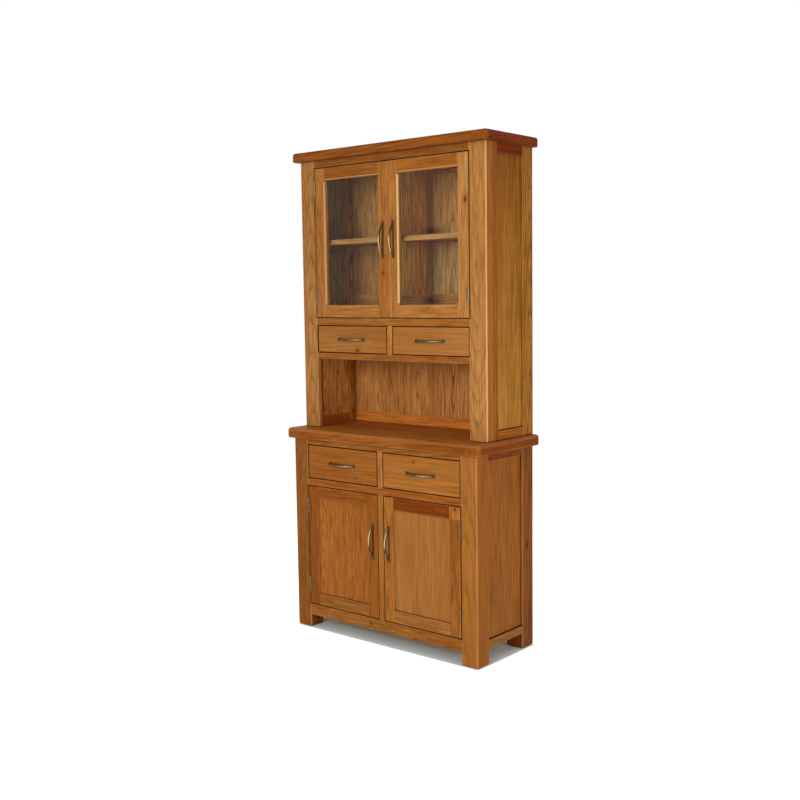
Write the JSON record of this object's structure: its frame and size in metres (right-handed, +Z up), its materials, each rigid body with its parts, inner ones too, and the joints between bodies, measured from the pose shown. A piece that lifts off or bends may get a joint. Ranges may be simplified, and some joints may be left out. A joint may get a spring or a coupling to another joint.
{
  "type": "kitchen dresser",
  "caption": "Oak kitchen dresser: base cupboard with drawers over panelled doors, open niche, and a hutch with drawers under glazed doors.",
  "frame": {"origin": "on the floor under the middle of the whole outline, doors and drawers shut, handles included", "axes": "+Z up, +X to the right seen from the front, -Y towards the front, where the doors open"},
  "size_m": [0.954, 0.3842, 1.9],
  "materials": {
    "oak_front": "waxed golden oak: doors, drawer fronts, rails and posts",
    "oak_side": "waxed oak: sides and back legs",
    "oak_top": "waxed oak, darker: worktop and cornice",
    "oak_panel": "waxed oak: door panels",
    "oak_inside": "lightly waxed oak: inside, backs and drawer boxes",
    "antique_brass": "antiqued, satin",
    "clear_glass": "clear sheet glass"
  },
  "bodies": {
    "carcass": {"base_leg_front_left": "oak_front", "base_leg_front_right": "oak_front", "base_leg_back_left": "oak_side", "base_leg_back_right": "oak_side", "base_side_left": "oak_side", "base_side_right": "oak_side", "base_top": "oak_top", "base_top_rail": "oak_front", "base_bottom_rail": "oak_front", "base_drawer_deck": "oak_front", "base_door_muntin": "oak_front", "base_back": "oak_inside", "base_floor": "oak_inside", "base_shelf": "oak_inside", "hutch_post_front_left": "oak_front", "hutch_post_front_right": "oak_front", "hutch_post_back_left": "oak_side", "hutch_post_back_right": "oak_side", "hutch_side_left": "oak_side", "hutch_side_right": "oak_side", "hutch_shelf_left": "oak_inside", "hutch_shelf_right": "oak_inside", "hutch_top": "oak_top", "hutch_top_rail": "oak_front", "hutch_cupboard_floor": "oak_front", "hutch_drawer_deck": "oak_front", "hutch_back": "oak_inside", "hutch_partition": "oak_inside", "base_door_left_hinge_lower": "antique_brass", "base_door_left_hinge_upper": "antique_brass", "base_door_right_hinge_lower": "antique_brass", "base_door_right_hinge_upper": "antique_brass", "hutch_door_left_hinge_lower": "antique_brass", "hutch_door_left_hinge_upper": "antique_brass", "hutch_door_right_hinge_lower": "antique_brass", "hutch_door_right_hinge_upper": "antique_brass"},
    "base_door_left": {"base_door_left_frame": "oak_front", "base_door_left_panel": "oak_panel", "base_door_left_handle": "antique_brass"},
    "base_door_right": {"base_door_right_frame": "oak_front", "base_door_right_panel": "oak_panel", "base_door_right_handle": "antique_brass"},
    "hutch_door_left": {"hutch_door_left_frame": "oak_front", "hutch_door_left_glass": "clear_glass", "hutch_door_left_handle": "antique_brass"},
    "hutch_door_right": {"hutch_door_right_frame": "oak_front", "hutch_door_right_glass": "clear_glass", "hutch_door_right_handle": "antique_brass"},
    "base_drawer_left": {"base_drawer_left_front": "oak_front", "base_drawer_left_box": "oak_inside", "base_drawer_left_handle": "antique_brass"},
    "base_drawer_right": {"base_drawer_right_front": "oak_front", "base_drawer_right_box": "oak_inside", "base_drawer_right_handle": "antique_brass"},
    "hutch_drawer_left": {"hutch_drawer_left_front": "oak_front", "hutch_drawer_left_box": "oak_inside", "hutch_drawer_left_handle": "antique_brass"},
    "hutch_drawer_right": {"hutch_drawer_right_front": "oak_front", "hutch_drawer_right_box": "oak_inside", "hutch_drawer_right_handle": "antique_brass"}
  },
  "joints": [
    {"name": "base_door_left_swing", "type": "hinge", "parent": "carcass", "child": "base_door_left", "pos_m": [-0.3775, -0.16835, 0.3395], "axis": [0, 0, -1], "range_deg": [0, 170]},
    {"name": "base_door_right_swing", "type": "hinge", "parent": "carcass", "child": "base_door_right", "pos_m": [0.3775, -0.16835, 0.3395], "axis": [0, 0, 1], "range_deg": [0, 170]},
    {"name": "hutch_door_left_swing", "type": "hinge", "parent": "carcass", "child": "hutch_door_left", "pos_m": [-0.3745, -0.10135, 1.5425], "axis": [0, 0, -1], "range_deg": [0, 170]},
    {"name": "hutch_door_right_swing", "type": "hinge", "parent": "carcass", "child": "hutch_door_right", "pos_m": [0.3745, -0.10135, 1.5425], "axis": [0, 0, 1], "range_deg": [0, 170]},
    {"name": "base_drawer_left_slide", "type": "slide", "parent": "carcass", "child": "base_drawer_left", "axis": [0, -1, 0], "range_m": [0, 0.24]},
    {"name": "base_drawer_right_slide", "type": "slide", "parent": "carcass", "child": "base_drawer_right", "axis": [0, -1, 0], "range_m": [0, 0.24]},
    {"name": "hutch_drawer_left_slide", "type": "slide", "parent": "carcass", "child": "hutch_drawer_left", "axis": [0, -1, 0], "range_m": [0, 0.18]},
    {"name": "hutch_drawer_right_slide", "type": "slide", "parent": "carcass", "child": "hutch_drawer_right", "axis": [0, -1, 0], "range_m": [0, 0.18]}
  ]
}
